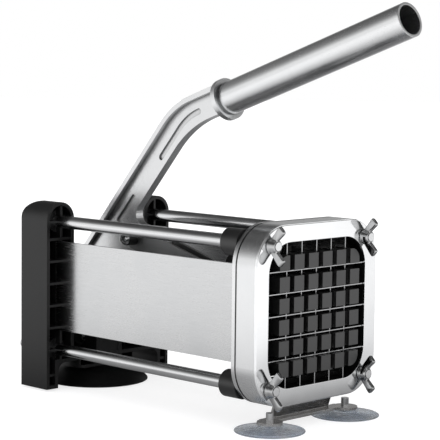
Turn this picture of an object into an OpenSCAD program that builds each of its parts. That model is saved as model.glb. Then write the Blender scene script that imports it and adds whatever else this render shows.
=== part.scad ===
// Hand lever french fry cutter. A pusher block with square pegs slides on four steel rods and
// drives a potato through a grid of blades. X runs forward to the blades, Y to the left, Z up.
// Lengths are millimetres, angles are degrees. The origin is the middle of the footprint.

/* [Blades] */
// Distance between blades, which is the width of a fry
blade_pitch = 12.7; // [12.4:0.1:12.9]
// Thickness of a blade
blade_t = 0.6; // [0.5:0.1:0.9]
// Depth of a blade, front to back
blade_d = 8; // [6:0.5:8]

/* [Front frame and plate] */
// Space between the outer cells of the blade grid and the edge of the window
window_edge = 3.9; // [3.5:0.1:4.5]
// Radius of the window's corners
window_r = 18; // [17:0.5:19]
// Width of the face plate's rim round the window
plate_rim = 10.25; // [10:0.25:12]
// Thickness of the face plate
plate_t = 1.5; // [1:0.25:2.5]
// Depth of the cast frame behind the plate
frame_d = 17.5; // [17:0.5:19]

/* [Rods] */
// Diameter of a rod
rod_dia = 8; // [7:0.5:8]
// Diameter of the threaded ends
stud_dia = 5; // [4:0.5:5]
// Gap all round between a rod and the sleeve that slides on it
slide_gap = 0.075; // [0.03:0.005:0.1]

/* [Side panels] */
// Height of a side panel
panel_h = 57; // [50:1:58]
// Thickness of a side panel
panel_t = 1.6; // [1:0.1:1.8]

/* [Rear bracket] */
// Width of a bracket leg
leg_w = 22.3; // [21:0.1:23]
// Depth of a bracket leg
leg_d = 25.6; // [25:0.2:27]
// Wall of the bracket's moulding
wall = 2.3; // [1.8:0.1:2.6]
// Thickness of a rib
rib_t = 1.6; // [1.2:0.1:2]

/* [Pusher] */
// How much narrower a peg is than the distance between blades
peg_slim_y = 4.5; // [4.3:0.1:5.5]
// How much lower a peg is than the distance between blades
peg_slim_z = 3.9; // [3.9:0.1:5.5]
// Outside diameter of a guide sleeve
sleeve_dia = 16; // [15:0.5:17]
// Length of a guide sleeve
sleeve_len = 14; // [12:0.5:16]

/* [Lever] */
// Width of the lever's spine
spine_w = 13.2; // [12:0.2:13.4]
// Thickness of the lever's web
web_t = 6; // [4:0.5:6]
// Outside diameter of the handle tube
tube_dia = 20; // [18:0.5:22]
// Wall of the handle tube
tube_wall = 1.5; // [1:0.1:2]
// Length of the handle tube
tube_len = 142; // [120:1:160]
// Slope of the handle tube above level
tube_slope = 18.7; // [15:0.1:22]
// Diameter of the lever's axle
axle_dia = 8; // [7:0.5:8]
// Gap all round between the axle and the lever
axle_gap = 0.05; // [0.02:0.01:0.1]

/* [Suction cups] */
// Radius of a front suction cup
front_cup_r = 20.5; // [18:0.5:22]
// Radius of the rear suction cup
rear_cup_r = 34; // [30:0.5:36]

/* [Hidden] */
$fn = 96;
touch_gap = 0.1;
tight_gap = 0.02;
body_gap = 0.3;
cut = 1;

// The blade grid has six cells each way, and everything round it follows from their size
window_w = 6 * blade_pitch + 2 * window_edge;
plate_w = window_w + 2 * plate_rim;
plate_r = window_r + 6;
rod_y = window_w / 2 - 1.5;
rod_z = window_w / 2 - 1;
peg_pitch = blade_pitch - 0.5;
peg_w = blade_pitch - peg_slim_y;
peg_h = blade_pitch - peg_slim_z;

// Stations along X, with zero just behind the face plate's front
plate_front = 1.2;
plate_back = plate_front - plate_t;
cassette_lip = 1.2;
cassette_d = blade_d + cassette_lip + 0.2;
cassette_back = plate_back - cassette_d;
frame_back = plate_back - frame_d;
sleeve_gap = 0.7;
sleeve_front = frame_back - sleeve_gap;
carriage_in = 11.5;
carriage_back = sleeve_front - carriage_in;
leg_front = -179.4;
leg_back = leg_front - leg_d;

// Heights, measured from the middle of the window
foot_rise = 14.15;
leg_rise = 12.5;
leg_lift = 0.8;
beam_rise = 16.9;
beam_h = 25.5;
floor_z = -plate_w / 2 - foot_rise;
leg_top = rod_z + leg_rise;
leg_bottom = floor_z + leg_lift;
beam_bottom = floor_z + beam_rise;
beam_top = beam_bottom + beam_h;

// Lever pivots, as [x, z]
axle_in = [9.5, 12.4];
pin_out = 32;
axle_at = [leg_back, beam_bottom] + axle_in;
bolt_at = [-150.5, 30.6];
knee_at = [-120.5, 21.9];
pin_at = [carriage_back - pin_out, 6];
tube_end = [63.7, 167.2];
bolt_dia = 6;
pin_dia = 7;

// The whole is moved so that the origin is the middle of the footprint, on the floor
rear_most = (leg_front + leg_back) / 2 - rear_cup_r;
front_most = tube_end[0] + tube_dia / 2 * sin(tube_slope);
shift = [-(rear_most + front_most) / 2, 0, -floor_z];

corners = [[1, 1], [-1, 1], [1, -1], [-1, -1]];
opening_y = rod_y - 3;
opening_z = rod_z - 2.3;
opening_r = 12;
hub_r = 9.5;
leg_y = rod_y + 1.25;

// ---- Helpers ----

// A flat outline in Y and Z, given depth along +X from x
module along_x(x, d) {
    translate([x, 0, 0])
        rotate([90, 0, 90])
            linear_extrude(height = d)
                children();
}

// A flat outline in X and Z, given a width along Y from y_low
module along_y(y_low, w) {
    translate([0, y_low + w, 0])
        rotate([90, 0, 0])
            linear_extrude(height = w)
                children();
}

// A cylinder along X from x_low, centred on y and z
module x_rod(x_low, len, y, z, r) {
    translate([x_low, y, z])
        rotate([0, 90, 0])
            cylinder(h = len, r = r);
}

// A cylinder along Y from y_low, centred on the [x, z] point at
module y_rod(y_low, len, at, r) {
    translate([at[0], y_low, at[1]])
        rotate([-90, 0, 0])
            cylinder(h = len, r = r);
}

// A box given by its low and high corners
module box(low, high) {
    translate(low)
        cube(high - low);
}

// A rectangle in X and Z, given by its low and high corners
module box2(x_low, z_low, x_high, z_high) {
    translate([x_low, z_low])
        square([x_high - x_low, z_high - z_low]);
}

// A rectangle with round corners, centred
module round_rect(w, h, r) {
    square([w - 2 * r, h], center = true);
    square([w, h - 2 * r], center = true);
    for (c = corners)
        translate([c[0] * (w / 2 - r), c[1] * (h / 2 - r)])
            circle(r = r);
}

// A straight bar with round ends, from point a with half width ra to point b with half width rb
module bar(a, b, ra, rb) {
    along = (b - a) / norm(b - a);
    side = [-along[1], along[0]];
    polygon([a + side * ra, a - side * ra, b - side * rb, b + side * rb]);
    translate(a)
        circle(r = ra);
    translate(b)
        circle(r = rb);
}

function unit(v) = v / norm(v);
function left_of(v) = [-v[1], v[0]];

// Points of an arc of radius r that rounds the corner at b, coming from a and going on to c
function corner_arc(a, b, c, r, steps) =
    let (u = unit(b - a), v = unit(c - b))
    let (turn = atan2(u[0] * v[1] - u[1] * v[0], u * v))
    let (side = turn > 0 ? 1 : -1)
    let (centre = b - u * r * tan(abs(turn) / 2) + left_of(u) * r * side)
    let (start = -left_of(u) * r * side)
    [for (i = [0 : steps])
        let (t = turn * i / steps)
        centre + [start[0] * cos(t) - start[1] * sin(t), start[0] * sin(t) + start[1] * cos(t)]];

// ---- Front frame, plate and blades ----

module stud_holes(x_low, len, r) {
    for (c = corners)
        x_rod(x_low, len, c[0] * rod_y, c[1] * rod_z, r);
}

foot_screw_in = 3.6;
foot_screw_x = frame_back + foot_screw_in;
foot_screw_y = 12;
foot_screw_dia = 3.5;
frame_wall = 4;
seam_w = 1.2;
seam_d = 0.6;
seam_x = frame_back + 2.6;
panel_seat = 3;
panel_half = panel_t / 2 + touch_gap;

module front_frame() {
    pocket_w = plate_w - 2 * frame_wall;
    color("silver")
        difference() {
            along_x(frame_back, frame_d)
                round_rect(plate_w, plate_w, plate_r);
            along_x(cassette_back, frame_d)
                round_rect(pocket_w, pocket_w, plate_r - frame_wall);
            along_x(frame_back - cut, frame_d)
                round_rect(2 * opening_y, 2 * opening_z, opening_r);
            // Seam that runs round the casting near its rear lip
            along_x(seam_x, seam_w)
                difference() {
                    round_rect(plate_w + 2 * cut, plate_w + 2 * cut, plate_r + cut);
                    round_rect(plate_w - 2 * seam_d, plate_w - 2 * seam_d, plate_r - seam_d);
                }
            stud_holes(frame_back - cut, frame_d + 2 * cut, stud_dia / 2 + touch_gap);
            // Grooves that hold the front ends of the side panels
            for (s = [-1, 1])
                box([frame_back - cut, s * rod_y - panel_half, -panel_h / 2 - touch_gap],
                    [frame_back + panel_seat, s * rod_y + panel_half, panel_h / 2 + touch_gap]);
            for (s = [-1, 1])
                translate([foot_screw_x, s * foot_screw_y, -plate_w / 2 - cut])
                    cylinder(h = foot_screw_len + cut, r = foot_screw_dia / 2);
        }
}

module face_plate() {
    edge = 0.6;
    color("gainsboro")
        difference() {
            union() {
                along_x(plate_back, plate_t - edge)
                    round_rect(plate_w, plate_w, plate_r);
                along_x(plate_back, plate_t)
                    round_rect(plate_w - 2 * edge, plate_w - 2 * edge, plate_r - edge);
            }
            along_x(plate_back - cut, plate_t + 2 * cut)
                round_rect(window_w, window_w, window_r);
            stud_holes(plate_back - cut, plate_t + 2 * cut, stud_dia / 2 + touch_gap);
        }
}

blade_reach = window_w / 2 + 2;
lap_gap = 0.05;
lap_half = blade_t / 2 + lap_gap;
blades_each_way = [-2 : 2];
blade_back = cassette_back + cassette_lip;
blade_mid = blade_back + blade_d / 2;

// Ring that holds the blades, with a lip behind them
module blade_frame() {
    side_gap = frame_wall + 2 * touch_gap;
    ring_w = plate_w - 2 * side_gap;
    color([0.12, 0.12, 0.13])
        difference() {
            along_x(cassette_back, cassette_d)
                round_rect(ring_w, ring_w, plate_r - side_gap);
            along_x(blade_back, cassette_d)
                round_rect(window_w, window_w, window_r);
            along_x(cassette_back - cut, cassette_d)
                round_rect(2 * opening_y, 2 * opening_z, opening_r);
            stud_holes(cassette_back - cut, cassette_d + 2 * cut, stud_dia / 2 + 2 * touch_gap);
            for (i = blades_each_way) {
                box([blade_back, i * blade_pitch - lap_half, -blade_reach - lap_gap],
                    [plate_back + cut, i * blade_pitch + lap_half, blade_reach + lap_gap]);
                box([blade_back, -blade_reach - lap_gap, i * blade_pitch - lap_half],
                    [plate_back + cut, blade_reach + lap_gap, i * blade_pitch + lap_half]);
            }
        }
}

module vertical_blades() {
    color("lightgray")
        for (i = blades_each_way)
            difference() {
                box([blade_back, i * blade_pitch - blade_t / 2, -blade_reach],
                    [blade_back + blade_d, i * blade_pitch + blade_t / 2, blade_reach]);
                for (j = blades_each_way)
                    box([blade_mid - lap_gap, i * blade_pitch - blade_t, j * blade_pitch - lap_half],
                        [plate_back + cut, i * blade_pitch + blade_t, j * blade_pitch + lap_half]);
            }
}

module horizontal_blades() {
    color("lightgray")
        for (j = blades_each_way)
            difference() {
                box([blade_back, -blade_reach, j * blade_pitch - blade_t / 2],
                    [blade_back + blade_d, blade_reach, j * blade_pitch + blade_t / 2]);
                for (i = blades_each_way)
                    box([blade_back - cut, i * blade_pitch - lap_half, j * blade_pitch - blade_t],
                        [blade_mid + lap_gap, i * blade_pitch + lap_half, j * blade_pitch + blade_t]);
            }
}

// ---- Rods and their nuts ----

stud_tip = 6.8;
rod_seat = 10;
nut_t = 3.4;
nut_r = 4.2;
nut_recess = 4;
cap_len = 10.3;
cap_wall = 0.6;

module rod(sy, sz) {
    y = sy * rod_y;
    z = sz * rod_z;
    rear = sz > 0 ? leg_back + nut_recess - nut_t + cap_wall : leg_back - cap_len + 2 * cap_wall;
    color("lightgray") {
        x_rod(leg_front - rod_seat, frame_back - leg_front + rod_seat, y, z, rod_dia / 2);
        x_rod(rear, leg_front - rod_seat - rear, y, z, stud_dia / 2);
        x_rod(frame_back, stud_tip - frame_back, y, z, stud_dia / 2);
    }
}

// Sunk nuts on the upper rods and domed nuts, which stand proud, on the lower ones
module rod_rear_nuts() {
    hole = stud_dia / 2 + tight_gap;
    color("silver")
        for (s = [-1, 1]) {
            difference() {
                x_rod(leg_back + nut_recess - nut_t, nut_t, s * rod_y, rod_z, nut_r);
                x_rod(leg_back, nut_t + cut, s * rod_y, rod_z, hole);
            }
            difference() {
                union() {
                    x_rod(leg_back - cap_len, cap_len, s * rod_y, -rod_z, nut_r);
                    translate([leg_back - cap_len, s * rod_y, -rod_z])
                        sphere(r = nut_r - 0.3);
                }
                x_rod(leg_back - cap_len + cap_wall, cap_len, s * rod_y, -rod_z, hole);
            }
        }
}

// ---- Rear bracket ----

foot_inner = rod_y + 3;
foot_r = 6;
cheek_low = 8;
cheek_t = 3;
rib_pitch = 14.15;
rib_mid = 1.7;
back_wall = 3;
leg_mid = (leg_front + leg_back) / 2;
panel_deep = 5;
cup_boss_r = 25;
cup_boss_t = 6;
boss_skin = 2.1;
boss_core = 9;
rear_stud_dia = 6;
rear_stud_deep = 4.8;
rib_levels = concat(
    [rod_z, -rod_z, beam_bottom - 7.5],
    [for (i = [-2 : 2]) rib_mid + i * rib_pitch]
);

// Outline of the left leg in Y and Z, drawn smaller all round by the distance inset
module leg_outline(inset) {
    half = leg_w / 2 - inset;
    top_centre = leg_top - leg_w / 2;
    foot_w = leg_y + leg_w / 2 - foot_inner - 2 * inset;
    translate([leg_y, top_centre])
        circle(r = half);
    translate([leg_y - half, beam_bottom + inset])
        square([2 * half, top_centre - beam_bottom - inset]);
    translate([foot_inner + inset, leg_bottom + inset])
        square([foot_w, beam_bottom - leg_bottom]);
}

module leg_shell() {
    back_r = 9;
    outer = leg_y + leg_w;
    vent = 5;
    boss_r = 7;
    boss_grip = 4.5;
    rib_in = 0.8;
    difference() {
        intersection() {
            along_x(leg_back, leg_d)
                leg_outline(0);
            // Rounded rear top edge, seen from the side
            along_y(0, outer)
                union() {
                    box2(leg_back + back_r, leg_bottom, leg_front, leg_top);
                    box2(leg_back, leg_bottom, leg_front, leg_top - back_r);
                    translate([leg_back + back_r, leg_top - back_r])
                        circle(r = back_r);
                }
        }
        difference() {
            along_x(leg_back + back_wall, leg_d)
                leg_outline(wall);
            box([leg_back - cut, 0, leg_top - wall - vent], [leg_back + back_r - cut, outer, leg_top]);
        }
    }
    // Ribs inside the shell
    intersection() {
        along_x(leg_back + cut, leg_d - cut - rib_in)
            leg_outline(wall / 2);
        difference() {
            union() {
                box([leg_back, rod_y - rib_t / 2, leg_bottom], [leg_front, rod_y + rib_t / 2, leg_top]);
                for (z = rib_levels)
                    box([leg_back, 0, z - rib_t / 2], [leg_front, outer, z + rib_t / 2]);
            }
            // Slot for the rear end of the side panel
            box([leg_front - panel_deep - touch_gap, rod_y - panel_half, -panel_h / 2 - touch_gap],
                [leg_front + cut, rod_y + panel_half, panel_h / 2 + touch_gap]);
        }
    }
    // Bosses that hold the rods, set back from the front
    for (s = [-1, 1])
        x_rod(leg_back + cut, leg_d - cut - rod_seat + boss_grip, rod_y, s * rod_z, boss_r);
}

module foot_fillet() {
    y = foot_inner;
    along_x(leg_back, leg_d)
        difference() {
            translate([y - foot_r, beam_bottom - foot_r])
                square([foot_r + 1, foot_r + 1]);
            translate([y - foot_r, beam_bottom - foot_r])
                circle(r = foot_r);
        }
}

module bracket_beam() {
    inner = leg_y - leg_w / 2 + cut;
    slab = 2.5;
    front_gap = 0.6;
    box([leg_back, -inner, beam_bottom], [leg_front, inner, beam_bottom + slab]);
    for (s = [-1, 1]) {
        low = s > 0 ? cheek_low : -inner;
        high = s > 0 ? inner : -cheek_low;
        box([leg_back, low, beam_bottom], [leg_back + back_wall, high, beam_top]);
        box([leg_back, low, beam_top - slab], [leg_front, high, beam_top]);
        cheek = s > 0 ? cheek_low : -cheek_low - cheek_t;
        box([leg_back, cheek, beam_bottom], [leg_front, cheek + cheek_t, beam_top]);
    }
    // Thin front wall that hides the lever's hub
    box([leg_front - front_gap - wall, -cheek_low - cut, beam_bottom],
        [leg_front - front_gap, cheek_low + cut, beam_top - slab]);
}

// Wide boss over the rear suction cup, with pockets open to the front
module cup_boss() {
    low = beam_bottom - cup_boss_t;
    pocket_low = low + boss_skin;
    difference() {
        intersection() {
            translate([leg_mid, 0, low])
                cylinder(h = cup_boss_t + cut, r = cup_boss_r);
            box([leg_back, -cup_boss_r, low], [leg_front, cup_boss_r, beam_bottom + cut]);
        }
        box([leg_mid + boss_core, -boss_core, pocket_low], [leg_front + cut, boss_core, beam_bottom]);
        for (s = [0, 1])
            mirror([0, s, 0])
                box([leg_back + back_wall, boss_core + rib_t, pocket_low],
                    [leg_front + cut, cup_boss_r - wall, beam_bottom]);
    }
}

module rear_bracket() {
    color([0.12, 0.12, 0.13])
        difference() {
            union() {
                for (s = [0, 1])
                    mirror([0, s, 0]) {
                        leg_shell();
                        foot_fillet();
                    }
                bracket_beam();
                cup_boss();
            }
            for (c = corners) {
                y = c[0] * rod_y;
                z = c[1] * rod_z;
                x_rod(leg_front - rod_seat, rod_seat + cut, y, z, rod_dia / 2 + touch_gap / 2);
                x_rod(leg_back - cut, leg_d, y, z, stud_dia / 2 + touch_gap / 2);
            }
            for (s = [-1, 1])
                x_rod(leg_back - cut, cut + nut_recess, s * rod_y, rod_z, nut_r + body_gap);
            y_rod(-rod_y / 2, rod_y, axle_at, axle_dia / 2 + tight_gap);
            translate([leg_mid, 0, beam_bottom - cup_boss_t - cut])
                cylinder(h = cup_boss_t + 2 * cut, r = rear_stud_dia / 2);
        }
}

// ---- Side panels ----

module side_panel(s) {
    color("gainsboro")
        box([leg_front - panel_deep, s * rod_y - panel_t / 2, -panel_h / 2],
            [frame_back + panel_seat - 2 * touch_gap, s * rod_y + panel_t / 2, panel_h / 2]);
}

// ---- Feet ----

cup_in = [12.8, 7.5];
cup_x = frame_back + cup_in[0];
cup_y = rod_y - cup_in[1];
cup_stud_dia = 4.6;
strip_t = 1.6;
strip_rise = 5.6;
strip_z = floor_z + strip_rise;
pad_r = 7.5;
front_stud_deep = 2;
front_stud_up = 5;
foot_screw_head_r = 2.8;
foot_screw_head_t = 1.8;
foot_screw_len = 8;

strip_short = 8;
flange_short = 5;
strip_in = 4.4;
strip_half = cup_y - strip_short;
strip_web_x = frame_back + strip_in;
strip_lean = 3.6;

// Bent strip: a top flange under the frame, a leaning web and a low flange with a pad at each end
module foot_strip() {
    under = -plate_w / 2;
    low = strip_z - strip_t;
    flange_half = strip_half - flange_short;
    color("lightgray")
        difference() {
            union() {
                translate([0, 0, low])
                    linear_extrude(height = strip_t) {
                        translate([strip_web_x, -cup_y])
                            square([cup_x - strip_web_x, 2 * cup_y]);
                        for (s = [-1, 1])
                            translate([cup_x, s * cup_y])
                                circle(r = pad_r);
                    }
                along_y(-strip_half, 2 * strip_half)
                    polygon([
                        [strip_web_x, low], [strip_web_x + strip_t, low],
                        [strip_web_x + strip_lean + strip_t, under], [strip_web_x + strip_lean, under]
                    ]);
                box([frame_back, -flange_half, under - strip_t],
                    [strip_web_x + strip_lean + strip_t, flange_half, under]);
            }
            for (s = [-1, 1]) {
                translate([cup_x, s * cup_y, low - cut])
                    cylinder(h = strip_t + 2 * cut, r = cup_stud_dia / 2 + tight_gap);
                translate([foot_screw_x, s * foot_screw_y, under - strip_t - cut])
                    cylinder(h = strip_t + 2 * cut, r = foot_screw_dia / 2 + touch_gap);
            }
        }
}

module foot_strip_screws() {
    under = -plate_w / 2 - strip_t;
    color("silver")
        for (s = [-1, 1])
            translate([foot_screw_x, s * foot_screw_y, under]) {
                translate([0, 0, -foot_screw_head_t])
                    cylinder(h = foot_screw_head_t, r = foot_screw_head_r);
                cylinder(h = foot_screw_len, r = foot_screw_dia / 2 - tight_gap);
            }
}

// A suction cup turned from its outline, with a hole of radius stud_r for its stud
module suction_cup(outline, tall, stud_r, stud_deep) {
    difference() {
        rotate_extrude()
            polygon(outline);
        translate([0, 0, tall - stud_deep])
            cylinder(h = stud_deep + cut, r = stud_r);
    }
}

front_cup_tall = strip_z - strip_t - floor_z;
front_neck_r = 5.5;
front_cup_lip = 0.9;

module front_suction_cup(s) {
    r = front_cup_r;
    lip = front_cup_lip;
    hollow = 0.8;
    neck = front_neck_r;
    rise = front_cup_tall - lip;
    color([0.75, 0.8, 0.88, 0.6])
        translate([cup_x, s * cup_y, floor_z])
            suction_cup([
                [0, hollow], [r * 0.35, hollow * 0.9], [r * 0.75, hollow * 0.45], [r - lip, 0], [r, 0],
                [r, lip], [r * 0.78, lip + rise * 0.2], [r * 0.5, lip + rise * 0.42],
                [neck * 1.25, lip + rise * 0.52], [neck, lip + rise * 0.68],
                [neck, front_cup_tall], [0, front_cup_tall]
            ], front_cup_tall, cup_stud_dia / 2 + tight_gap, front_stud_deep + touch_gap);
}

module front_cup_studs() {
    color("silver")
        for (s = [-1, 1])
            translate([cup_x, s * cup_y, strip_z - strip_t - front_stud_deep])
                cylinder(h = front_stud_deep + strip_t + front_stud_up, r = cup_stud_dia / 2);
}

rear_cup_tall = beam_bottom - cup_boss_t - floor_z;

// Full dome of black rubber under the bracket
module rear_suction_cup() {
    r = rear_cup_r;
    tall = rear_cup_tall;
    color([0.08, 0.08, 0.09])
        translate([leg_mid, 0, floor_z])
            suction_cup([
                [0, tall * 0.4], [r * 0.35, tall * 0.37], [r * 0.72, tall * 0.2],
                [r * 0.95, 0], [r * 0.985, 0], [r, tall * 0.05], [r * 0.985, tall * 0.13],
                [r * 0.945, tall * 0.27], [r * 0.87, tall * 0.45], [r * 0.71, tall * 0.76],
                [r * 0.53, tall * 0.93], [r * 0.38, tall], [0, tall]
            ], tall, rear_stud_dia / 2, rear_stud_deep + 2 * touch_gap);
}

module rear_cup_stud() {
    color("silver")
        translate([leg_mid, 0, beam_bottom - cup_boss_t - rear_stud_deep])
            cylinder(h = rear_stud_deep + cup_boss_t + cut, r = rear_stud_dia / 2 - tight_gap);
}

// ---- Lever axle ----

clip_y = cheek_low + cheek_t;
clip_t = 0.8;
clip_r = 6;
clip_groove_r = axle_dia / 2 - 0.8;

module lever_axle() {
    half = clip_y + 2;
    color("silver")
        difference() {
            y_rod(-half, 2 * half, axle_at, axle_dia / 2);
            for (s = [-1, 1])
                difference() {
                    y_rod(s * (clip_y + clip_t / 2) - clip_t / 2, clip_t, axle_at, axle_dia);
                    y_rod(s * (clip_y + clip_t / 2) - clip_t, 2 * clip_t, axle_at, clip_groove_r);
                }
        }
}

// Open spring clips that hold the axle endwise
module axle_clips() {
    mouth = 2;
    slit = 1;
    color("dimgray")
        for (s = [-1, 1]) {
            y_mid = s * (clip_y + clip_t / 2);
            difference() {
                y_rod(y_mid - clip_t / 2, clip_t, axle_at, clip_r);
                y_rod(y_mid - clip_t, 2 * clip_t, axle_at, clip_groove_r + tight_gap);
                box([axle_at[0] + slit, y_mid - clip_t, axle_at[1] - mouth],
                    [axle_at[0] + 2 * clip_r, y_mid + clip_t, axle_at[1] + mouth]);
            }
        }
}

// ---- Pusher ----

carriage_t = 5;
carriage_front = carriage_back + carriage_t;
peg_base_t = 3.5;
peg_tip = 2.8;
lug_t = 5;
pin_rise = 13.6;
slot_r = pin_dia / 2 + 1.8;
peg_screw_z = 30;
peg_screw_r = 2;
peg_screw_head_t = 2.2;
peg_screw_head_r = 3.6;
pegs_each_way = [-2.5 : 2.5];
carriage_gap = 0.7;
carriage_r = 3;
lug_wall = 4.5;
lug_window_back = 14;
lug_window_front = 6;

// Square plate that fills the space between the panels, notched round the guide sleeves
module pusher_carriage() {
    slot_low = pin_at + [0, slot_r - pin_dia / 2 - 2 * body_gap - body_gap];
    slot_high = pin_at + [0, pin_rise + touch_gap];
    lug_r = slot_r + lug_wall;
    plate_y = rod_y - panel_t / 2 - carriage_gap;
    plate_z = rod_z - carriage_gap;
    hole_len = carriage_t + 2 * cut;
    notch_r = sleeve_dia / 2 + tight_gap;
    color([0.16, 0.16, 0.17])
        difference() {
            union() {
                along_x(carriage_back, carriage_t)
                    round_rect(2 * plate_y, 2 * plate_z, carriage_r);
                // Lug whose tall slot takes the link pin
                along_y(-lug_t / 2, lug_t) {
                    bar(slot_low, slot_high, lug_r, lug_r);
                    box2(pin_at[0], slot_low[1] - slot_r, carriage_back + cut, slot_high[1] + slot_r);
                }
            }
            along_y(-lug_t, 2 * lug_t) {
                bar(slot_low, slot_high, slot_r, slot_r);
                box2(pin_at[0] + lug_window_back, slot_low[1],
                    carriage_back - lug_window_front, slot_high[1]);
            }
            for (c = corners)
                x_rod(carriage_back - cut, hole_len, c[0] * rod_y, c[1] * rod_z, notch_r);
            for (s = [-1, 1])
                x_rod(carriage_back - cut, hole_len, 0, s * peg_screw_z, peg_screw_r + touch_gap);
        }
}

module peg_block() {
    span = 5 * peg_pitch;
    rim = 2;
    corner_r = 6.5;
    color([0.3, 0.3, 0.31])
        difference() {
            union() {
                along_x(carriage_front, peg_base_t)
                    round_rect(span + peg_w + rim, span + peg_h + rim, corner_r + rim / 2);
                intersection() {
                    for (i = pegs_each_way, j = pegs_each_way)
                        box([carriage_front, i * peg_pitch - peg_w / 2, j * peg_pitch - peg_h / 2],
                            [peg_tip, i * peg_pitch + peg_w / 2, j * peg_pitch + peg_h / 2]);
                    along_x(carriage_front, peg_tip - carriage_front)
                        round_rect(span + peg_w, span + peg_h, corner_r);
                }
            }
            for (s = [-1, 1])
                x_rod(carriage_front - cut, peg_base_t + cut, 0, s * peg_screw_z, peg_screw_r);
        }
}

module peg_block_screws() {
    len = carriage_t + peg_base_t - 2 * touch_gap;
    color("silver")
        for (s = [-1, 1]) {
            x_rod(carriage_back - peg_screw_head_t, peg_screw_head_t, 0, s * peg_screw_z, peg_screw_head_r);
            x_rod(carriage_back, len, 0, s * peg_screw_z, peg_screw_r - tight_gap);
        }
}

module guide_sleeve(sy, sz) {
    y = sy * rod_y;
    z = sz * rod_z;
    back = sleeve_front - sleeve_len;
    edge = 1.2;
    color([0.14, 0.14, 0.15])
        translate([back, y, z])
            rotate([0, 90, 0])
                rotate_extrude()
                    polygon([
                        [rod_dia / 2 + slide_gap, 0], [sleeve_dia / 2 - edge, 0],
                        [sleeve_dia / 2, edge], [sleeve_dia / 2, sleeve_len],
                        [rod_dia / 2 + slide_gap, sleeve_len]
                    ]);
}

// ---- Links ----

link_t = 2;
link_low = web_t / 2 + 2 * body_gap;
pin_head_r = 5.2;
link_end_r = 7;
link_r = 8.4;

module link_outline() {
    bar(bolt_at, knee_at, link_end_r, link_r);
    bar(knee_at, pin_at, link_r, link_r);
}

module link_plate(s) {
    y_low = s > 0 ? link_low : -link_low - link_t;
    color([0.35, 0.35, 0.36])
        difference() {
            along_y(y_low, link_t)
                link_outline();
            y_rod(y_low - cut, link_t + 2 * cut, bolt_at, bolt_dia / 2 + slide_gap);
            y_rod(y_low - cut, link_t + 2 * cut, pin_at, pin_dia / 2 + tight_gap);
        }
}

module link_pin() {
    out = link_low + link_t;
    head_t = 1.6;
    color("silver") {
        y_rod(-out, 2 * out, pin_at, pin_dia / 2);
        for (s = [-1, 1])
            y_rod(s > 0 ? out : -out - head_t, head_t, pin_at, pin_head_r);
    }
}

// ---- Lever ----

arm_slope = 49;
arm_dir = [cos(arm_slope), sin(arm_slope)];
arm_normal = [sin(arm_slope), -cos(arm_slope)];
tube_dir = [cos(tube_slope), sin(tube_slope)];
tube_normal = [sin(tube_slope), -cos(tube_slope)];
arm_depth = 18;
neck_up = 9.9;
neck_down = 7;
spine_t = 3;
collar_r = 12.9;
collar_t = 3.4;
collar_step = 1.5;
step_in = 0.7;
tube_start = tube_end - tube_dir * tube_len;
collar_front = tube_start - tube_dir * collar_step;
collar_back = collar_front - tube_dir * collar_t;
spine_out = 1;
spine_rise = 21.1;
spine_x = leg_back - spine_out;
spine_foot = [spine_x, axle_at[1] + spine_rise];
spine_knee = [spine_x, 13.1];
spigot_len = 28;
elbow_r = 58;
knee_r = 12;
hub_half = cheek_low - 1;

// Where two lines cross, each given by a point and a direction
function crossing(p, u, q, v) =
    let (k = ((q[0] - p[0]) * v[1] - (q[1] - p[1]) * v[0]) / (u[0] * v[1] - u[1] * v[0]))
    p + u * k;

neck_top = collar_back - tube_normal * neck_up;
elbow = crossing(spine_knee, arm_dir, neck_top, tube_dir);

// Rear edge of the lever, from the foot of the spine to the collar, moved inward by the distance in
function rear_edge(in) =
    let (foot = spine_foot + [in, 0])
    let (knee = crossing(spine_foot + [in, 0], [0, 1], spine_knee + arm_normal * in, arm_dir))
    let (bend = crossing(knee, arm_dir, neck_top + tube_normal * in, tube_dir))
    let (end = neck_top + tube_normal * in + tube_dir)
    concat(
        [foot],
        corner_arc(foot, knee, bend, knee_r - in, 8),
        corner_arc(knee, bend, end, elbow_r - in, 24),
        [end]
    );

web_inset = 0.5;
web_foot_in = [8.8, 15.1];
web_foot = axle_at + web_foot_in;
front_bend_r = 70;
lobe_r = 6;
lobe_top = 39;
lobe_front = -124;
lobe_bottom = 15;
front_line = spine_knee + arm_normal * arm_depth;
fillet_r = 7;
inner_corner = crossing(front_line, arm_dir, [0, lobe_top], [1, 0]);
front_bend = crossing(front_line, arm_dir, collar_back + tube_normal * neck_down, tube_dir);
neck_low = collar_back + tube_normal * neck_down + tube_dir;

module web_outline() {
    polygon(concat(
        rear_edge(web_inset),
        [neck_low],
        corner_arc(neck_low, front_bend, inner_corner, front_bend_r, 24),
        corner_arc(front_bend, inner_corner, [lobe_front, lobe_top], fillet_r, 10),
        corner_arc(inner_corner, [lobe_front, lobe_top], [lobe_front, lobe_bottom], lobe_r, 8),
        corner_arc([lobe_front, lobe_top], [lobe_front, lobe_bottom], web_foot, lobe_r, 8),
        [web_foot, [axle_at[0] + hub_r, axle_at[1]], axle_at, [spine_x + 2, axle_at[1]]]
    ));
}

// A shallow trough with round ends, of half width r, along the path pts
module trough(pts, r) {
    for (i = [0 : len(pts) - 2])
        bar(pts[i], pts[i + 1], r, r);
}

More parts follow.
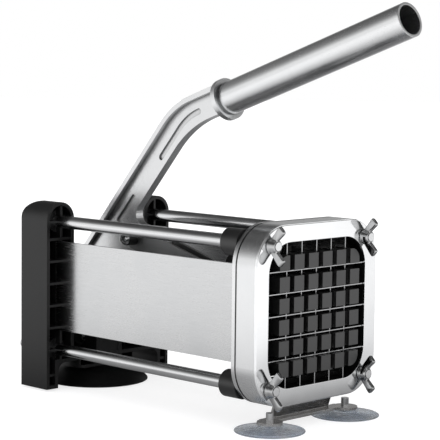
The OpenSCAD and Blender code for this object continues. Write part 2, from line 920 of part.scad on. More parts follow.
// Middle lines of the upper trough, which follows the elbow, and of the lower one
trough_in = 12.5;
trough_neck_in = 10.4;
trough_r = 1.9;
upper_down = 33.7;
upper_up = 17.7;
trough_bend_r = 40;
lower_in = 11;
lower_from = 70.7;
lower_len = 21;
upper_start = elbow - arm_dir * upper_down + arm_normal * trough_in;
upper_bend = crossing(upper_start, arm_dir, elbow + tube_normal * trough_neck_in, tube_dir);
upper_end = elbow + tube_dir * upper_up + tube_normal * trough_neck_in;
upper_arc = corner_arc(upper_start, upper_bend, upper_end, trough_bend_r, 8);
upper_trough = concat([upper_start], upper_arc, [upper_end]);
lower_trough = [
    for (d = [lower_from, lower_from + lower_len])
        elbow - arm_dir * d + arm_normal * lower_in
];
trough_d = 1.2;

module lever_arm() {
    inner_edge = rear_edge(spine_t);
    color("lightgray")
        difference() {
            union() {
                along_y(-web_t / 2, web_t)
                    web_outline();
                along_y(-spine_w / 2, spine_w)
                    polygon(concat(
                        rear_edge(0),
                        [for (i = [len(inner_edge) - 1 : -1 : 0]) inner_edge[i]]
                    ));
                y_rod(-hub_half, 2 * hub_half, axle_at, hub_r);
                // Collar and the spigot inside the tube
                translate([collar_back[0], 0, collar_back[1]])
                    rotate([0, 90 - tube_slope, 0]) {
                        cylinder(h = collar_t, r = collar_r);
                        cylinder(h = collar_t + collar_step, r = tube_dia / 2 - step_in);
                        cylinder(h = collar_t + spigot_len, r = tube_dia / 2 - tube_wall - tight_gap);
                    }
            }
            y_rod(-hub_half - cut, 2 * hub_half + 2 * cut, axle_at, axle_dia / 2 + axle_gap);
            y_rod(-web_t, 2 * web_t, bolt_at, bolt_dia / 2 + tight_gap);
            for (s = [0, 1])
                mirror([0, s, 0])
                    along_y(web_t / 2 - trough_d, trough_d + cut) {
                        trough(upper_trough, trough_r);
                        trough(lower_trough, trough_r);
                    }
        }
}

module handle_tube() {
    color("silver")
        translate([tube_start[0], 0, tube_start[1]])
            rotate([0, 90 - tube_slope, 0])
                difference() {
                    cylinder(h = tube_len, r = tube_dia / 2);
                    translate([0, 0, -cut])
                        cylinder(h = tube_len + 2 * cut, r = tube_dia / 2 - tube_wall);
                }
}

bolt_sleeve_len = 6;
bolt_out = link_low + link_t + body_gap;
bolt_len = 2 * bolt_out + bolt_sleeve_len;
bolt_sleeve_r = 4.2;
bolt_head_t = 3;
bolt_head_r = 3.9;
bolt_nut_t = 4.5;
bolt_nut_r = 5.77;

module link_bolt() {
    color("silver") {
        y_rod(-bolt_out - bolt_sleeve_len, bolt_len + bolt_nut_t, bolt_at, bolt_dia / 2);
        y_rod(-bolt_out - bolt_sleeve_len - bolt_head_t, bolt_head_t, bolt_at, bolt_head_r);
    }
}

module link_bolt_sleeve() {
    hole = bolt_dia / 2 + tight_gap;
    color([0.1, 0.1, 0.1])
        difference() {
            y_rod(-bolt_out - bolt_sleeve_len, bolt_sleeve_len, bolt_at, bolt_sleeve_r);
            y_rod(-bolt_out - bolt_sleeve_len - cut, bolt_sleeve_len + 2 * cut, bolt_at, hole);
        }
}

module link_bolt_nut() {
    color("silver")
        difference() {
            translate([bolt_at[0], bolt_out, bolt_at[1]])
                rotate([-90, 0, 0])
                    cylinder(h = bolt_nut_t, r = bolt_nut_r, $fn = 6);
            y_rod(bolt_out - cut, bolt_nut_t + 2 * cut, bolt_at, bolt_dia / 2 + tight_gap);
        }
}

// ---- Wing nuts ----

wing_span = 11;
wing_t = 2;
wing_hub_r = 4.8;
wing_hub_t = 5;
wing_base = plate_front + body_gap;
wing_nut_gap = 0.05;

// Outline of one wing, out from the rod's axis and forward from the hub's base
module wing_outline() {
    tip_r = 2.5;
    bar([3, 1.9], [wing_span - tip_r, 7.3], 1.9, tip_r);
}

module wing_nut(sy, sz) {
    color("silver")
        translate([wing_base, sy * rod_y, sz * rod_z])
            difference() {
                union() {
                    rotate([0, 90, 0])
                        rotate_extrude()
                            polygon([
                                [0, 0], [wing_hub_r, 0], [wing_hub_r, 1.2], [wing_hub_r - 0.8, 1.9],
                                [wing_hub_r - 1, wing_hub_t - 1], [wing_hub_r - 1.9, wing_hub_t],
                                [0, wing_hub_t]
                            ]);
                    for (s = [0, 1])
                        mirror([0, 0, s])
                            rotate([0, -90, -90])
                                translate([0, 0, -wing_t / 2])
                                    linear_extrude(height = wing_t)
                                        wing_outline();
                }
                translate([-cut, 0, 0])
                    rotate([0, 90, 0])
                        cylinder(h = wing_hub_t + 2 * cut, r = stud_dia / 2 + wing_nut_gap);
            }
}

// ---- Nodes ----

translate(shift) {
    front_frame();
    face_plate();
    blade_frame();
    vertical_blades();
    horizontal_blades();
    rod(1, 1);  // rod_upper_left
    rod(-1, 1);  // rod_upper_right
    rod(1, -1);  // rod_lower_left
    rod(-1, -1);  // rod_lower_right
    rod_rear_nuts();
    rear_bracket();
    side_panel(1);  // side_panel_left
    side_panel(-1);  // side_panel_right
    foot_strip();
    foot_strip_screws();
    front_suction_cup(1);  // front_suction_cup_left
    front_suction_cup(-1);  // front_suction_cup_right
    front_cup_studs();
    rear_suction_cup();
    rear_cup_stud();
    lever_axle();
    axle_clips();
    pusher_carriage();
    peg_block();
    peg_block_screws();
    guide_sleeve(1, 1);  // guide_sleeve_upper_left
    guide_sleeve(-1, 1);  // guide_sleeve_upper_right
    guide_sleeve(1, -1);  // guide_sleeve_lower_left
    guide_sleeve(-1, -1);  // guide_sleeve_lower_right
    link_plate(1);  // link_plate_left
    link_plate(-1);  // link_plate_right
    link_pin();
    lever_arm();
    handle_tube();
    link_bolt();
    link_bolt_sleeve();
    link_bolt_nut();
    wing_nut(1, 1);  // wing_nut_upper_left
    wing_nut(-1, 1);  // wing_nut_upper_right
    wing_nut(1, -1);  // wing_nut_lower_left
    wing_nut(-1, -1);  // wing_nut_lower_right
}
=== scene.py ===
import math

import bmesh
import bpy
from mathutils import Matrix, Vector

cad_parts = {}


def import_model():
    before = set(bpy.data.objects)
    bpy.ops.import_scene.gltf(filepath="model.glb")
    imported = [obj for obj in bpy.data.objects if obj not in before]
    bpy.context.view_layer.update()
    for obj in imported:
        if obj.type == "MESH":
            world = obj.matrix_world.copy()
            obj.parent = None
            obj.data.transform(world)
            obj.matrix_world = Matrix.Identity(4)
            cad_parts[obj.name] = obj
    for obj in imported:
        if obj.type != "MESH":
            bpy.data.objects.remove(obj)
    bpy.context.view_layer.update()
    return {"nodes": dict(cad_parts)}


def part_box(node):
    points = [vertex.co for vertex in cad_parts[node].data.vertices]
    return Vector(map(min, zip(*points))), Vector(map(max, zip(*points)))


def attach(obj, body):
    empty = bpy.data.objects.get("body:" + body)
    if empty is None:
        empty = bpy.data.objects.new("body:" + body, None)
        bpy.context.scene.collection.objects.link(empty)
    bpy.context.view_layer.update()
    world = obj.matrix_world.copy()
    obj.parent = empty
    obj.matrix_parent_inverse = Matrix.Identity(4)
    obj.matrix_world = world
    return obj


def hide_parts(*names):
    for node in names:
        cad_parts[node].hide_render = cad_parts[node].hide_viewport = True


MM = 0.001
TINY = 0.0001 * MM
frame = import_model()
nodes = frame["nodes"]
scene = bpy.context.scene
scene.view_settings.view_transform = "Standard"

# ---- Camera: the photograph's place and view ----

CAM_AT = Vector((0.71509, -0.72774, 0.20996))
CAM_RIGHT = Vector((0.712746, 0.701326, 0.011674))
CAM_UP = Vector((-0.074270, 0.058908, 0.995497))
CAM_LENS_PX = 1681.74
PHOTO_PX = 440
SENSOR = 36.0


def make_camera():
    data = bpy.data.cameras.new("photo_camera")
    data.sensor_width = SENSOR
    data.sensor_fit = "HORIZONTAL"
    data.lens = CAM_LENS_PX / PHOTO_PX * SENSOR
    data.clip_start = 0.01
    data.clip_end = 50
    cam = bpy.data.objects.new("photo_camera", data)
    scene.collection.objects.link(cam)
    back = CAM_RIGHT.cross(CAM_UP)
    turn = Matrix((CAM_RIGHT, CAM_UP, back)).transposed().to_4x4()
    cam.matrix_world = Matrix.Translation(CAM_AT) @ turn
    scene.camera = cam


# ---- Node helpers ----


class Graph:
    """A small builder for shader nodes."""

    def __init__(self, tree, output_kind="ShaderNodeOutputMaterial"):
        self.tree = tree
        self.output_kind = output_kind
        tree.nodes.clear()

    def add(self, kind, **values):
        node = self.tree.nodes.new(kind)
        for key, value in values.items():
            setattr(node, key, value)
        return node

    def link(self, out, into):
        self.tree.links.new(out, into)

    def put(self, socket, value):
        if isinstance(value, bpy.types.NodeSocket):
            self.link(value, socket)
        elif value is not None:
            socket.default_value = value

    def math(self, op, a, b=0.0, clamp=False):
        node = self.add("ShaderNodeMath", operation=op, use_clamp=clamp)
        self.put(node.inputs[0], a)
        self.put(node.inputs[1], b)
        return node.outputs[0]

    def coords(self):
        return self.add("ShaderNodeTexCoord").outputs["Object"]

    def scaled(self, vector, scale):
        node = self.add("ShaderNodeMapping")
        self.link(vector, node.inputs["Vector"])
        node.inputs["Scale"].default_value = scale
        return node.outputs[0]

    def noise(self, vector, scale, detail=4.0, rough=0.55, twist=0.0):
        node = self.add("ShaderNodeTexNoise")
        self.link(vector, node.inputs["Vector"])
        node.inputs["Scale"].default_value = scale
        node.inputs["Detail"].default_value = detail
        node.inputs["Roughness"].default_value = rough
        node.inputs["Distortion"].default_value = twist
        return node.outputs["Fac"]

    def spread(self, value, low, high, from_low=0.3, from_high=0.7):
        node = self.add("ShaderNodeMapRange")
        self.link(value, node.inputs["Value"])
        node.inputs["From Min"].default_value = from_low
        node.inputs["From Max"].default_value = from_high
        node.inputs["To Min"].default_value = low
        node.inputs["To Max"].default_value = high
        return node.outputs[0]

    def mix(self, fac, a, b):
        node = self.add("ShaderNodeMix", data_type="RGBA")
        self.put(node.inputs[0], fac)
        self.put(node.inputs[6], a)
        self.put(node.inputs[7], b)
        return node.outputs[2]

    def bump(self, height, strength, distance, normal=None):
        node = self.add("ShaderNodeBump")
        self.link(height, node.inputs["Height"])
        node.inputs["Strength"].default_value = strength
        node.inputs["Distance"].default_value = distance
        self.put(node.inputs["Normal"], normal)
        return node.outputs[0]

    def show(self, shader):
        """Links the shader to the material's or the world's output."""
        out = self.add(self.output_kind)
        self.link(shader, out.inputs["Surface"])

    def rounded(self, radius):
        node = self.add("ShaderNodeBevel", samples=8)
        node.inputs["Radius"].default_value = radius
        return node.outputs[0]

    def edge_mask(self, rounded, gain):
        """1 on an edge and 0 on a flat face."""
        normal = self.add("ShaderNodeNewGeometry").outputs["Normal"]
        dot = self.add("ShaderNodeVectorMath", operation="DOT_PRODUCT")
        self.link(normal, dot.inputs[0])
        self.link(rounded, dot.inputs[1])
        off = self.math("SUBTRACT", 1.0, dot.outputs["Value"])
        return self.math("MULTIPLY", off, gain, clamp=True)


def grey(v, tint=0.0):
    return (v * (1 - tint), v, v * (1 + tint), 1.0)


def new_material(name):
    made = bpy.data.materials.new(name)
    made.use_nodes = True
    return made, Graph(made.node_tree)


def surface(g, colour, rough, normal, metallic, **values):
    """The output of a Principled shader."""
    shader = g.add("ShaderNodeBsdfPrincipled")
    g.put(shader.inputs["Base Color"], colour)
    g.put(shader.inputs["Roughness"], rough)
    g.put(shader.inputs["Normal"], normal)
    shader.inputs["Metallic"].default_value = metallic
    for key, value in values.items():
        shader.inputs[key.replace("_", " ")].default_value = value
    return shader.outputs[0]


# Scales of the broad mottle, rubbed spots and ripples, in 1/m
METAL_MOTTLE = 38.0
PLASTIC_MOTTLE = 30.0
RUBBED_SPOTS = 160.0
VINYL_RIPPLES = 90.0
# Depths of the fine relief, and how far the shade painted into corners reaches
METAL_RELIEF = 0.06 * MM
PLASTIC_RELIEF = 0.05 * MM
VINYL_RELIEF = 0.5 * MM
PAINTED_SHADE_REACH = 3 * MM


def metal(name, tone, rough, edge, grain, tint=0.01, streaks=None, depth=1.0, wear=0.0,
          fleck=0.35, painted_crevice_shade=0.0):
    """Bare metal. edge is the edge radius in mm, grain the grain's scale in 1/m, streaks the stretch
    of a brushed finish, fleck how far the grain darkens the colour, wear how bright the edges are
    and crevice how much shade is painted into the colour in the corners."""
    made, g = new_material(name)
    at = g.coords()
    lined = g.scaled(at, streaks) if streaks else at
    fine = g.noise(lined, grain, 5.0, 0.65)
    broad = g.noise(at, METAL_MOTTLE, 3.0, 0.5, 0.3)
    darker = grey(tone * 0.95, tint)
    lighter = grey(min(0.98, tone * 1.03), tint * 0.5)
    colour = g.mix(g.spread(broad, 0, 1), darker, lighter)
    colour = g.mix(g.spread(fine, 0, fleck), colour, grey(tone * 0.8, tint))
    grained = g.spread(fine, rough * 0.8, rough * 1.2)
    roughness = g.math("ADD", grained, g.spread(broad, -0.03, 0.03))
    soft = g.rounded(edge * MM)
    # Painted shade: the colour darkens towards near black in corners and recesses, found by ambient
    # occlusion, in place of the shade that falls there.
    if painted_crevice_shade:
        occlusion = g.add("ShaderNodeAmbientOcclusion", samples=8, only_local=True)
        occlusion.inputs["Distance"].default_value = PAINTED_SHADE_REACH
        painted_shade_amount = g.math("SUBTRACT", 1.0, occlusion.outputs["AO"])
        dark = g.math("MULTIPLY", painted_shade_amount, painted_crevice_shade, clamp=True)
        colour = g.mix(dark, colour, grey(tone * 0.1))
    if wear:
        colour = g.mix(g.edge_mask(soft, wear), colour, grey(min(1.0, tone * 1.35 + 0.2)))
    normal = g.bump(fine, 0.35 * depth, METAL_RELIEF, soft)
    g.show(surface(g, colour, roughness, normal, 1.0))
    return made


def plastic(name, tone, rough, edge, grain, tint=0.01, depth=1.0, wear=4.0, shine=0.5):
    """Moulded plastic with a fine spark texture, soft marks and slightly rubbed edges. edge is the
    edge radius in mm, grain the texture's scale in 1/m and shine the specular level."""
    made, g = new_material(name)
    at = g.coords()
    fine = g.noise(at, grain, 3.0, 0.6)
    broad = g.noise(at, PLASTIC_MOTTLE, 4.0, 0.6, 0.4)
    colour = g.mix(g.spread(broad, 0, 1), grey(tone * 0.8, tint), grey(tone * 1.25, tint))
    soft = g.rounded(edge * MM)
    spots = g.spread(g.noise(at, RUBBED_SPOTS), 0.2, 1.0)
    rubbed = g.math("MULTIPLY", g.edge_mask(soft, wear), spots)
    colour = g.mix(g.math("MULTIPLY", rubbed, 0.5), colour, grey(tone * 3 + 0.01, tint))
    grained = g.spread(fine, rough * 0.88, rough * 1.1)
    roughness = g.math("ADD", grained, g.spread(broad, -0.04, 0.04))
    normal = g.bump(fine, 0.4 * depth, PLASTIC_RELIEF, soft)
    g.show(surface(g, colour, roughness, normal, 0.0, Specular_IOR_Level=shine))
    return made


def clear_vinyl(name):
    """Clear soft plastic, bluish in places, with soft ripples. A quarter of it is seen through
    without bending, which keeps it light."""
    straight_through = 0.25
    made, g = new_material(name)
    at = g.coords()
    broad = g.noise(at, VINYL_RIPPLES, 3.0, 0.5, 0.6)
    colour = g.mix(g.spread(broad, 0, 1), (0.82, 0.89, 0.99, 1), (0.96, 0.98, 1.0, 1))
    normal = g.bump(broad, 0.5, VINYL_RELIEF)
    rough = g.spread(broad, 0.03, 0.10)
    bent = surface(g, colour, rough, normal, 0.0, Transmission_Weight=0.97, IOR=1.30)
    through = g.add("ShaderNodeBsdfTransparent")
    g.link(colour, through.inputs["Color"])
    both = g.add("ShaderNodeMixShader")
    both.inputs[0].default_value = straight_through
    g.link(bent, both.inputs[1])
    g.link(through.outputs[0], both.inputs[2])
    g.show(both.outputs[0])
    return made


def dress(name, material):
    """Gives a CAD node its material."""
    node = nodes[name]
    node.data.materials.clear()
    node.data.materials.append(material)


# ---- Mesh helpers ----


def finish_mesh(name, bm, material, body):
    """Makes a smooth shaded piece of the mesh, which rides a body."""
    bmesh.ops.recalc_face_normals(bm, faces=bm.faces)
    mesh = bpy.data.meshes.new(name)
    bm.to_mesh(mesh)
    bm.free()
    for face in mesh.polygons:
        face.use_smooth = True
    mesh.materials.append(material)
    made = bpy.data.objects.new(name, mesh)
    scene.collection.objects.link(made)
    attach(made, body)
    return made


def spin(bm, profile, place, steps=96, closed=False):
    """Turns a profile of (radius, height) in metres round the Z axis, then moves it by place."""
    rings = []
    for r, h in profile:
        if r < TINY:
            rings.append([bm.verts.new(place @ Vector((0, 0, h)))])
            continue
        ring = []
        for i in range(steps):
            a = 2 * math.pi * i / steps
            ring.append(bm.verts.new(place @ Vector((r * math.cos(a), r * math.sin(a), h))))
        rings.append(ring)
    if closed:
        rings.append(rings[0])
    for low, high in zip(rings, rings[1:]):
        for i in range(steps):
            j = (i + 1) % steps
            if len(low) == 1 and len(high) == 1:
                continue
            if len(low) == 1:
                bm.faces.new((low[0], high[j], high[i]))
            elif len(high) == 1:
                bm.faces.new((low[i], low[j], high[0]))
            else:
                bm.faces.new((low[i], low[j], high[j], high[i]))


def smooth_profile(points, steps=5):
    """A Catmull-Rom curve through the (radius, height) points."""
    ends = [points[0]] + list(points) + [points[-1]]
    out = []
    for a, b, c, d in zip(ends, ends[1:], ends[2:], ends[3:]):
        for step in range(steps):
            t = step / steps
            place = []
            for k in (0, 1):
                slope = c[k] - a[k]
                bend = 2 * a[k] - 5 * b[k] + 4 * c[k] - d[k]
                twist = 3 * b[k] - a[k] - 3 * c[k] + d[k]
                place.append(0.5 * (2 * b[k] + slope * t + bend * t * t + twist * t ** 3))
            out.append(place)
    out.append(points[-1])
    return [(max(r, 0.0), h) for r, h in out]


# ---- Materials ----

# The cast frame, fasteners, wing nuts and lever have shade painted into their corners.
cast = metal("cast_aluminium", tone=0.82, rough=0.24, edge=0.25, grain=2600,
             depth=0.7, fleck=0.25, painted_crevice_shade=1.6)
mirror = metal("polished_plate", tone=0.96, rough=0.10, edge=0.4, grain=1500,
               streaks=(1, 0.06, 1), depth=0.08, fleck=0.08)
blade = metal("blade_steel", tone=0.52, rough=0.22, edge=0.1, grain=2000,
              streaks=(1, 0.1, 0.1), depth=0.3, fleck=0.2)
rod_steel = metal("rod_steel", tone=0.76, rough=0.19, edge=0.2, grain=2600,
                  streaks=(0.04, 1, 1), depth=0.10, fleck=0.12)
bright = metal("fastener_steel", tone=0.58, rough=0.13, edge=0.3, grain=1500,
               depth=0.4, wear=2.0, painted_crevice_shade=1.2)
wing_metal = metal("wing_nut_cast", tone=0.50, rough=0.10, edge=0.6, grain=900,
                   depth=1.0, wear=3.5, painted_crevice_shade=1.6)
brushed = metal("brushed_sheet", tone=0.64, rough=0.25, edge=0.2, grain=2400,
                streaks=(0.03, 1, 1), depth=0.2, fleck=0.12)
strip_steel = metal("strip_steel", tone=0.46, rough=0.26, edge=0.3, grain=1800, tint=-0.02,
                    streaks=(1, 0.05, 1), depth=0.5, wear=3.0)
lever_metal = metal("blasted_aluminium", tone=0.78, rough=0.30, edge=0.15, grain=3200,
                    depth=1.2, fleck=0.3, painted_crevice_shade=1.3)
tube_metal = metal("satin_tube", tone=0.79, rough=0.24, edge=0.3, grain=2600,
                   streaks=(0.05, 1, 1), depth=0.08, fleck=0.06)
link_steel = metal("link_steel", tone=0.34, rough=0.36, edge=0.3, grain=2200,
                   streaks=(0.05, 1, 1), wear=5.0)
abs_black = plastic("bracket_abs", tone=0.008, rough=0.40, edge=0.5, grain=2200, shine=0.38)
ring_plastic = plastic("blade_ring_abs", tone=0.004, rough=0.5, edge=0.3, grain=1800,
                       wear=1.0, shine=0.15)
abs_inner = plastic("pusher_abs", tone=0.006, rough=0.5, edge=0.4, grain=2200,
                    wear=1.0, shine=0.25)
peg_plastic = plastic("peg_plastic", tone=0.010, rough=0.36, edge=0.3, grain=1800,
                      wear=1.0, shine=1.0)
sleeve_black = plastic("sleeve_nylon", tone=0.007, rough=0.36, edge=0.6, grain=2600,
                       wear=2.0, shine=0.7)
rubber = plastic("cup_rubber", tone=0.003, rough=0.5, edge=0.6, grain=1200,
                 wear=1.0, shine=0.2)
vinyl = clear_vinyl("clear_vinyl")

CORNERS = ("upper_left", "upper_right", "lower_left", "lower_right")
LOOKS = {
    cast: ["front_frame"],
    mirror: ["face_plate"],
    ring_plastic: ["blade_frame"],
    blade: ["vertical_blades", "horizontal_blades"],
    rod_steel: ["rod_" + corner for corner in CORNERS],
    bright: ["rod_rear_nuts", "foot_strip_screws", "front_cup_studs", "rear_cup_stud",
             "lever_axle", "axle_clips", "peg_block_screws", "link_pin", "link_bolt",
             "link_bolt_nut"],
    abs_black: ["rear_bracket"],
    brushed: ["side_panel_left", "side_panel_right"],
    strip_steel: ["foot_strip"],
    abs_inner: ["pusher_carriage"],
    peg_plastic: ["peg_block"],
    sleeve_black: ["link_bolt_sleeve"] + ["guide_sleeve_" + corner for corner in CORNERS],
    link_steel: ["link_plate_left", "link_plate_right"],
    lever_metal: ["lever_arm"],
    tube_metal: ["handle_tube"],
    wing_metal: ["wing_nut_" + corner for corner in CORNERS],
    vinyl: ["front_suction_cup_left", "front_suction_cup_right"],
    rubber: ["rear_suction_cup"],
}
for material, names in LOOKS.items():
    for name in names:
        dress(name, material)


# ---- Wing nuts ----


# The hub's outline as (radius, height over the plate), in mm
WING_HUB = [
    (2.56, 0.0), (4.4, 0.0), (4.75, 0.25), (4.8, 0.8), (4.7, 1.3), (4.3, 1.8), (4.1, 2.6),
    (3.95, 3.6), (3.6, 4.5), (3.1, 4.95), (2.56, 5.0),
]
# Sections of a wing, from the hub to its rounded paddle, in mm: distance from the hub's axis, height
# over the plate, half width and half thickness
WING_SECTIONS = [
    (2.0, 2.2, 2.1, 2.3), (3.4, 2.5, 2.3, 2.1), (4.6, 3.4, 2.3, 1.6), (5.8, 4.5, 2.45, 1.4),
    (7.0, 5.6, 2.65, 1.35), (8.2, 6.7, 2.8, 1.4), (9.0, 7.5, 2.8, 1.4), (9.5, 8.0, 2.7, 1.3),
    (9.8, 8.3, 2.2, 1.0), (9.95, 8.45, 1.4, 0.55),
]
SECTION_STEPS = 16
# Powers that make a section squarer than an ellipse
WIDE_POWER = 0.7
THICK_POWER = 0.6


def squarer(value, power):
    return math.copysign(abs(value) ** power, value)


def wing(bm, base, side):
    """One wing, as a run of oval sections."""
    rings = []
    for k, (out, up, wide, thick) in enumerate(WING_SECTIONS):
        before = WING_SECTIONS[max(k - 1, 0)]
        after = WING_SECTIONS[min(k + 1, len(WING_SECTIONS) - 1)]
        run = Vector((after[1] - before[1], 0, (after[0] - before[0]) * side)).normalized()
        across = Vector((-run.z, 0, run.x))
        centre = Vector((up, 0, out * side))
        ring = []
        for i in range(SECTION_STEPS):
            t = 2 * math.pi * i / SECTION_STEPS
            point = centre + across * wide * squarer(math.cos(t), WIDE_POWER)
            point.y += thick * squarer(math.sin(t), THICK_POWER)
            ring.append(bm.verts.new(base + point * MM))
        rings.append(ring)
    for one, two in zip(rings, rings[1:]):
        for i in range(SECTION_STEPS):
            j = (i + 1) % SECTION_STEPS
            bm.faces.new((one[i], one[j], two[j], two[i]))
    bm.faces.new(rings[-1])


def wing_nut(corner):
    node = "wing_nut_" + corner
    low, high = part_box(node)
    base = Vector((low.x, (low.y + high.y) / 2, (low.z + high.z) / 2))
    bm = bmesh.new()
    along_x = Matrix.Translation(base) @ Matrix.Rotation(math.pi / 2, 4, "Y")
    spin(bm, [(r * MM, h * MM) for r, h in WING_HUB], along_x, 48, closed=True)
    for side in (1, -1):
        wing(bm, base, side)
    made = finish_mesh(node + "_forged", bm, wing_metal, node + "_body")
    detail = made.modifiers.new("smooth", "SUBSURF")
    detail.levels = 2
    detail.render_levels = 2
    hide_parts(node)


for corner in CORNERS:
    wing_nut(corner)


# ---- Link bolt, with a cross recess in its pan head ----


# The head's rounded side, as (radius, distance from the head's face), in mm
BOLT_HEAD = [(2.9, 0.08), (3.3, 0.3), (3.6, 0.65), (3.82, 1.2), (3.9, 1.9), (3.9, 2.9), (3.8, 3.0)]
HEAD_T = 3.0
BOLT_R = 3.0
BOLT_BEVEL = 0.4
# The head's flat face is a close set of rings, into which the cross recess is pressed
FACE_STEP = 0.15
FACE_RINGS = 18
RECESS_HALF = 0.42
RECESS_REACH = 1.9
RECESS_DEEP = 1.3


def recess(x, y):
    """How deep the cross recess is at a point of the head's face, all in mm."""
    a = abs(x + y) / math.sqrt(2)
    b = abs(x - y) / math.sqrt(2)
    one_arm = max(a / RECESS_HALF, b / RECESS_REACH)
    other_arm = max(b / RECESS_HALF, a / RECESS_REACH)
    inside = 1.5 - min(one_arm, other_arm)
    return RECESS_DEEP * min(1.0, max(0.0, inside) / 0.5)


def link_bolt():
    low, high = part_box("link_bolt")
    x = (low.x + high.x) / 2
    z = (low.z + high.z) / 2
    place = Matrix.Translation((x, low.y, z)) @ Matrix.Rotation(-math.pi / 2, 4, "X")
    length = (high.y - low.y) / MM
    face = [(FACE_STEP * k, 0.0) for k in range(FACE_RINGS)]
    shank = [
        (BOLT_R, HEAD_T), (BOLT_R, length - BOLT_BEVEL),
        (BOLT_R - BOLT_BEVEL, length), (0.0, length),
    ]
    profile = face + BOLT_HEAD + shank
    bm = bmesh.new()
    spin(bm, [(r * MM, h * MM) for r, h in profile], Matrix.Identity(4), 96)
    for v in bm.verts:
        if v.co.z < TINY:
            v.co.z += recess(v.co.x / MM, v.co.y / MM) * MM
        v.co = place @ v.co
    made = finish_mesh("link_bolt_pan_head", bm, bright, "lever")
    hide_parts("link_bolt")


link_bolt()


# ---- Suction cups ----


# Outlines as (radius, height over the rim's plane), in mm
FRONT_CUP = [
    (0.0, 0.9), (5.0, 0.85), (11.0, 0.6), (16.5, 0.3), (19.6, 0.02), (20.4, 0.1), (20.5, 0.55),
    (20.1, 0.85), (19.2, 0.8), (16.0, 1.25), (12.0, 1.75), (9.0, 2.2), (7.6, 2.35), (6.9, 2.7),
    (6.4, 3.5), (5.9, 3.95), (5.2, 4.0), (3.0, 4.0), (2.4, 3.95), (2.34, 3.0), (2.32, 2.0),
    (1.5, 1.92), (0.0, 1.9),
]
REAR_CUP = [
    (0.0, 4.2), (12.0, 4.0), (24.0, 2.2), (31.5, 0.3), (33.0, 0.0), (33.9, 0.25), (33.95, 0.9),
    (33.4, 1.6), (32.1, 2.9), (29.6, 4.9), (24.1, 8.2), (18.0, 10.1), (14.0, 10.75),
    (11.0, 10.88), (3.2, 10.9), (3.0, 10.8), (3.0, 6.2), (2.6, 6.1), (0.0, 6.1),
]


def cup(node, name, outline, material):
    """A suction cup turned from its outline."""
    low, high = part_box(node)
    bm = bmesh.new()
    place = Matrix.Translation(((low.x + high.x) / 2, (low.y + high.y) / 2, low.z))
    profile = smooth_profile(outline)
    spin(bm, [(r * MM, h * MM) for r, h in profile], place, 128)
    made = finish_mesh(name, bm, material, "base")
    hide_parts(node)


for side in ("left", "right"):
    cup("front_suction_cup_" + side, "clear_cup_" + side, FRONT_CUP, vinyl)
cup("rear_suction_cup", "rear_cup_rubber", REAR_CUP, rubber)


# ---- Studio ----

# Greys seen in reflections: the floor by half its distance in metres, and the sky from straight down
# at 0 to straight up at 1
FLOOR_GLOSS = [(0.0, 0.06), (0.05, 0.09), (0.09, 0.20), (0.13, 0.60), (0.20, 0.88), (0.32, 1.0)]
SKY_GLOSS = [
    (0.0, 0.30), (0.45, 0.95), (0.50, 1.0), (0.60, 1.0), (0.675, 0.50), (0.75, 0.20),
    (0.835, 0.07), (0.93, 0.12), (1.0, 0.35),
]
# Darkening by direction, in half turns from +X towards +Y: a grey card to the front left and a dark
# one behind, which gives the outer edges their dark lines
CARDS = [
    (0.0, 1.0), (0.278, 1.0), (0.317, 0.78), (0.46, 0.78), (0.56, 0.6), (0.64, 0.42),
    (0.86, 0.42), (1.0, 1.0),
]
# Where the floor's dark patch and the cards are centred, in metres
DARK_MIDDLE = (-0.06, 0.08, 0.0)
CARD_MIDDLE = (0.1465, 0.0, 0.0)
# The floor's grey as the camera sees it, by half its distance in metres
FLOOR_PLAIN = [(0.0, 0.76), (0.22, 0.76), (0.5, 1.0)]
# What the floor scatters, less of it where it is seen in a reflection
FLOOR_DARK = (0.33, 0.33, 0.335, 1)
FLOOR_LIGHT = (0.35, 0.35, 0.355, 1)
FLOOR_IN_GLOSS = (0.14, 0.14, 0.142, 1)
FLOOR_RINGS = (0.0, 0.5, 1.5, 8.0)
FLOOR_DROP = 0.4 * MM
SKY_FILL = (0.75, 0.75, 0.76, 1)
OBJECT_MIDDLE = Vector((0, 0, 0.1))
BLACK = (0, 0, 0, 1)
WHITE = (1, 1, 1, 1)


def shade(g, value, stops, ease="EASE"):
    """A grey colour ramp, given as (place, level) pairs."""
    ramp = g.add("ShaderNodeValToRGB")
    ramp.color_ramp.interpolation = ease
    marks = ramp.color_ramp.elements
    while len(marks) > 1:
        marks.remove(marks[0])
    marks[0].position = stops[0][0]
    marks[0].color = (stops[0][1],) * 3 + (1,)
    for at, level in stops[1:]:
        marks.new(at).color = (level,) * 3 + (1,)
    g.link(value, ramp.inputs[0])
    return ramp.outputs[0]


def cards(g, vector, middle=(0.0, 0.0, 0.0)):
    """How much the cards darken the direction from middle."""
    away = g.add("ShaderNodeVectorMath", operation="SUBTRACT")
    g.link(vector, away.inputs[0])
    away.inputs[1].default_value = middle
    parts = g.add("ShaderNodeSeparateXYZ")
    g.link(away.outputs[0], parts.inputs[0])
    turn = g.math("DIVIDE", g.math("ARCTAN2", parts.outputs["Y"], parts.outputs["X"]), math.pi)
    return shade(g, turn, CARDS, "LINEAR")


def dimmed(g, colour, factor):
    node = g.add("ShaderNodeMix", data_type="RGBA", blend_type="MULTIPLY")
    node.inputs[0].default_value = 1.0
    g.link(colour, node.inputs[6])
    g.link(factor, node.inputs[7])
    return node.outputs[2]


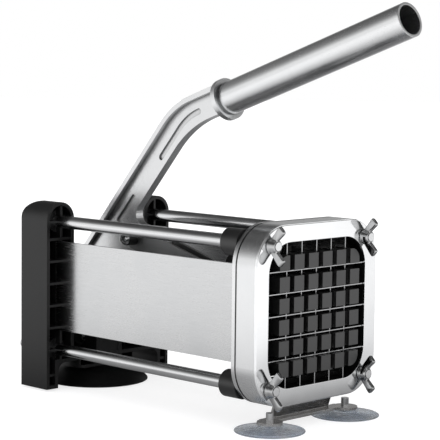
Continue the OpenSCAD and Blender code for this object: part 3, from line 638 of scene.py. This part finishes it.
def floor():
    """Pale floor. The camera sees it white but for the soft shadow. In a reflection it is dark near
    the object and white farther away."""
    bm = bmesh.new()
    spin(bm, [(r, 0.0) for r in FLOOR_RINGS], Matrix.Translation((0, 0, -FLOOR_DROP)), 64)
    mesh = bpy.data.meshes.new("studio_floor")
    bm.to_mesh(mesh)
    bm.free()
    made = bpy.data.objects.new("studio_floor", mesh)
    scene.collection.objects.link(made)
    material, g = new_material("studio_floor")
    spots = []
    for middle in ((0.0, 0.0, 0.0), DARK_MIDDLE):
        away = g.add("ShaderNodeVectorMath", operation="DISTANCE")
        g.link(g.coords(), away.inputs[0])
        away.inputs[1].default_value = middle
        spots.append(g.math("MULTIPLY", away.outputs["Value"], 0.5))
    light = g.add("ShaderNodeLightPath")
    in_gloss = light.outputs["Is Glossy Ray"]
    seen = g.math("MAXIMUM", light.outputs["Is Camera Ray"], light.outputs["Is Transmission Ray"])
    tone = g.mix(g.noise(g.coords(), 6.0), FLOOR_DARK, FLOOR_LIGHT)
    diffuse = g.add("ShaderNodeBsdfDiffuse")
    g.link(g.mix(in_gloss, tone, FLOOR_IN_GLOSS), diffuse.inputs["Color"])
    plain = g.mix(seen, BLACK, shade(g, spots[0], FLOOR_PLAIN))
    far = dimmed(g, shade(g, spots[1], FLOOR_GLOSS), cards(g, g.coords(), CARD_MIDDLE))
    glow = g.add("ShaderNodeEmission")
    g.link(g.mix(in_gloss, plain, far), glow.inputs["Color"])
    both = g.add("ShaderNodeAddShader")
    g.link(diffuse.outputs[0], both.inputs[0])
    g.link(glow.outputs[0], both.inputs[1])
    g.show(both.outputs[0])
    mesh.materials.append(material)


def world():
    """White to the camera. In a reflection it is white at the horizon and dark overhead, with the
    cards in it."""
    sky = bpy.data.worlds.new("studio")
    scene.world = sky
    sky.use_nodes = True
    g = Graph(sky.node_tree, "ShaderNodeOutputWorld")
    direction = g.add("ShaderNodeTexCoord").outputs["Generated"]
    height = g.add("ShaderNodeSeparateXYZ")
    g.link(direction, height.inputs[0])
    where = g.spread(height.outputs["Z"], 0.0, 1.0, -1.0, 1.0)
    light = g.add("ShaderNodeLightPath")
    around = dimmed(g, shade(g, where, SKY_GLOSS), cards(g, direction))
    plain = g.mix(light.outputs["Is Glossy Ray"], SKY_FILL, around)
    seen = g.math("MAXIMUM", light.outputs["Is Camera Ray"], light.outputs["Is Transmission Ray"])
    back = g.add("ShaderNodeBackground")
    g.link(g.mix(seen, plain, WHITE), back.inputs["Color"])
    g.show(back.outputs[0])


def soft_box(name, at, size, watts):
    """A square lamp aimed at the middle of the object. It isn't mirrored in the metal."""
    data = bpy.data.lights.new(name, "AREA")
    data.size = size
    data.energy = watts
    lamp = bpy.data.objects.new(name, data)
    scene.collection.objects.link(lamp)
    lamp.location = at
    lamp.rotation_mode = "QUATERNION"
    lamp.rotation_quaternion = (OBJECT_MIDDLE - Vector(at)).to_track_quat("-Z", "Y")
    lamp.visible_glossy = False


make_camera()
floor()
world()
soft_box("overhead", (0.1, -0.2, 1.6), 1.4, 9.0)
soft_box("key_left", (-0.7, -1.4, 0.8), 1.2, 8.0)
soft_box("fill_right", (1.5, 0.1, 0.7), 1.2, 6.0)
